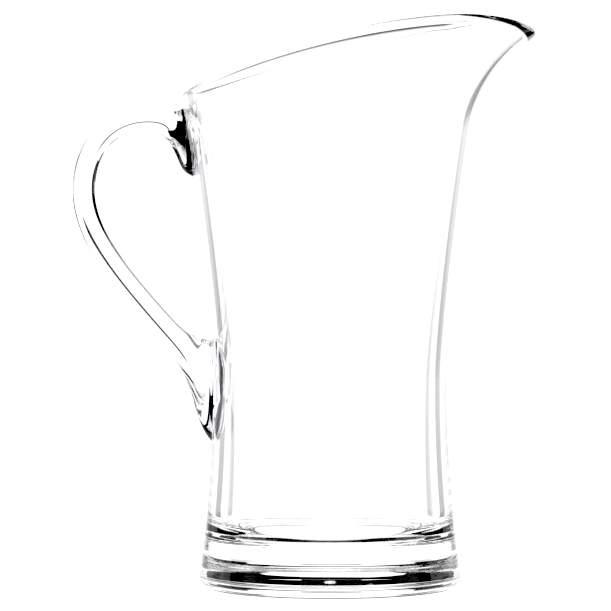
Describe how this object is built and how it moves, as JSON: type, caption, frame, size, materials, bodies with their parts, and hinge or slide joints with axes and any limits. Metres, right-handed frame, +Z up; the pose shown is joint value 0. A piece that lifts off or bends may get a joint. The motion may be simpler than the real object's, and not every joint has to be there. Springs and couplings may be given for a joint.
{
  "type": "beer pitcher",
  "caption": "Clear acrylic beer pitcher with a waisted round body, slanted rounded rim, pulled spout, thick dished base and bonded loop handle.",
  "frame": {"origin": "on the body's axis, in the plane that the base rests on", "axes": "+Z up along the body's axis, +X towards the spout, -X towards the handle; the XZ plane is the plane of symmetry"},
  "size_m": [0.2073, 0.1392, 0.2534],
  "materials": {
    "clear_acrylic": "clear polished acrylic moulding",
    "clear_cement": "clear cured acrylic cement"
  },
  "bodies": {
    "root": {"body": "clear_acrylic", "base": "clear_acrylic", "handle": "clear_acrylic", "base_bond": "clear_cement", "upper_handle_bond": "clear_cement", "lower_handle_bond": "clear_cement"}
  },
  "joints": []
}
